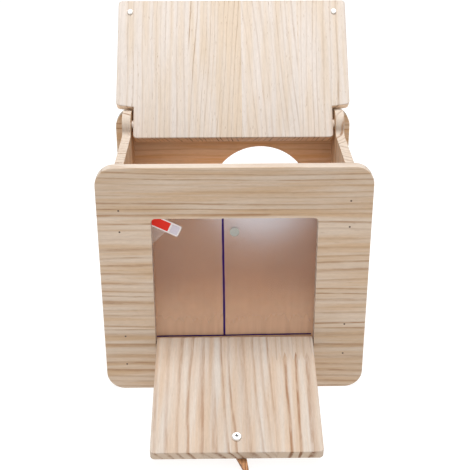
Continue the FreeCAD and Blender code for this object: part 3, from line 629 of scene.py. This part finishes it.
BLUE = ink()
pane_film = film_sheet()
upright_line = ink_line("upright_ink_line", (-7.9, 42.6), (-8.7, 146.3), 1.6, BLUE)
level_line = ink_line("level_ink_line", (-60.6, 42.5), (59.6, 43.7), 1.2, BLUE)
label = sticker()
thicken(pane_film, FILM_THICKNESS)
thicken(upright_line, INK_THICKNESS)
thicken(level_line, INK_THICKNESS)
thicken(label, PAPER_THICKNESS)
for piece in (pane_film, upright_line, level_line, label):
    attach(piece, "box")


# Floor, light and camera

WHITE = (1.0, 1.0, 1.0, 1.0)
BLACK = (0.0, 0.0, 0.0, 1.0)


def hide_from(holder, *rays):
    """Hides a lamp or the backdrop from some kinds of ray."""
    for kind in rays:
        setattr(holder, f"visible_{kind}", False)


def floor():
    """A wide plain floor under the box, as a level square grid."""
    graph = Graph("studio_floor")
    half = 4.0
    spread = np.linspace(-half, half, 5)
    x, y = np.meshgrid(spread, spread)
    material = graph.finish(Base_Color=colour(150, 150, 150), Roughness=0.9, Specular_IOR_Level=0.1,
                            Emission_Color=WHITE, Emission_Strength=0.85)
    sheet = surface("floor", np.stack([x, y, np.zeros_like(x)], axis=-1), material)


def backdrop():
    """A plain white dome past the floor's corners, which only the camera sees, so it lights nothing.

    It is a sphere by turn and rise, from a little below the floor to straight up."""
    graph = Graph("studio_backdrop")
    radius, foot = 6.5, -0.15
    turn, rise = np.meshgrid(np.linspace(0, 2 * math.pi, 49), np.linspace(foot, math.pi / 2, 13))
    level = radius * np.cos(rise)
    points = np.stack([level * np.cos(turn), level * np.sin(turn), radius * np.sin(rise)], axis=-1)
    material = graph.finish(Base_Color=BLACK, Roughness=1.0, Specular_IOR_Level=0.0,
                            Emission_Color=WHITE, Emission_Strength=1.0)
    dome = surface("backdrop", points, material)
    hide_from(dome, "diffuse", "glossy", "transmission", "shadow")


def aimed(place, forward, roll=0.0):
    """The placement of a lamp or camera that looks along a direction, level but for a small roll."""
    right = np.cross(forward, UP if abs(forward[2]) < 0.999 else BACK)
    right /= np.linalg.norm(right)
    up = np.cross(right, forward)
    turned_right = math.cos(roll) * right + math.sin(roll) * up
    turned_up = np.cross(turned_right, forward)
    columns = np.eye(4)
    columns[:3, 0], columns[:3, 1], columns[:3, 2] = turned_right, turned_up, -forward
    columns[:3, 3] = place
    return Matrix(columns.tolist())


def lamp(name, place, target, size, power):
    """A soft oblong light that faces a point, by its width and height."""
    light = bpy.data.lights.new(name, "AREA")
    light.shape = "RECTANGLE"
    light.size, light.size_y = size
    light.energy = power
    holder = bpy.data.objects.new(name, light)
    towards = np.array(target) - np.array(place)
    holder.matrix_world = aimed(place, towards / np.linalg.norm(towards))
    bpy.context.scene.collection.objects.link(holder)
    return holder


def inner_lamp(name, place, target, power):
    """A small warm light behind a rail of the front, seen by nothing but the boards inside.

    It makes up for light that goes back and forth between the boards more often than a render follows."""
    size = (0.13, 0.02)
    holder = lamp(name, place, target, size, power)
    holder.data.color = (1.0, 0.68, 0.48)
    holder.data.spread = math.radians(110)
    hide_from(holder, "camera", "glossy", "transmission")


def camera():
    """The photograph's camera, from a fit to the board edges."""
    place = (-0.008746, -0.673269, 0.426396)
    pitch, yaw, roll = (math.radians(turn) for turn in (25.225, 0.825, -0.053))
    level = math.cos(pitch)
    forward = np.array([level * math.sin(yaw), level * math.cos(yaw), -math.sin(pitch)])
    data = bpy.data.cameras.new("camera")
    data.sensor_width = 36.0
    data.lens = 72.095
    data.clip_start, data.clip_end = 0.02, 50.0
    holder = bpy.data.objects.new("camera", data)
    holder.matrix_world = aimed(place, forward, roll)
    bpy.context.scene.collection.objects.link(holder)
    bpy.context.scene.camera = holder


def surroundings(strength):
    """A plain white sky."""
    world = bpy.data.worlds.new("sky")
    world.use_nodes = True
    sky = world.node_tree.nodes["Background"]
    sky.inputs["Color"].default_value = WHITE
    sky.inputs["Strength"].default_value = strength
    bpy.context.scene.world = world


floor()
backdrop()
surroundings(0.40)
lamp("wide_light", (0.0, -0.3, 2.4), (0.0, 0.0, 0.1), (3.0, 3.0), 28.0)
lamp("top_light", (0.0, -0.05, 1.6), (0.0, -0.05, 0.0), (0.5, 0.5), 15.0)
inner_lamp("upper_inner_light", (0.0, -0.034, 0.166), (0.0, 0.04, 0.10), 0.034)
inner_lamp("lower_inner_light", (0.0, -0.036, 0.024), (0.0, 0.04, 0.03), 0.016)
camera()
bpy.context.scene.view_settings.view_transform = "Standard"
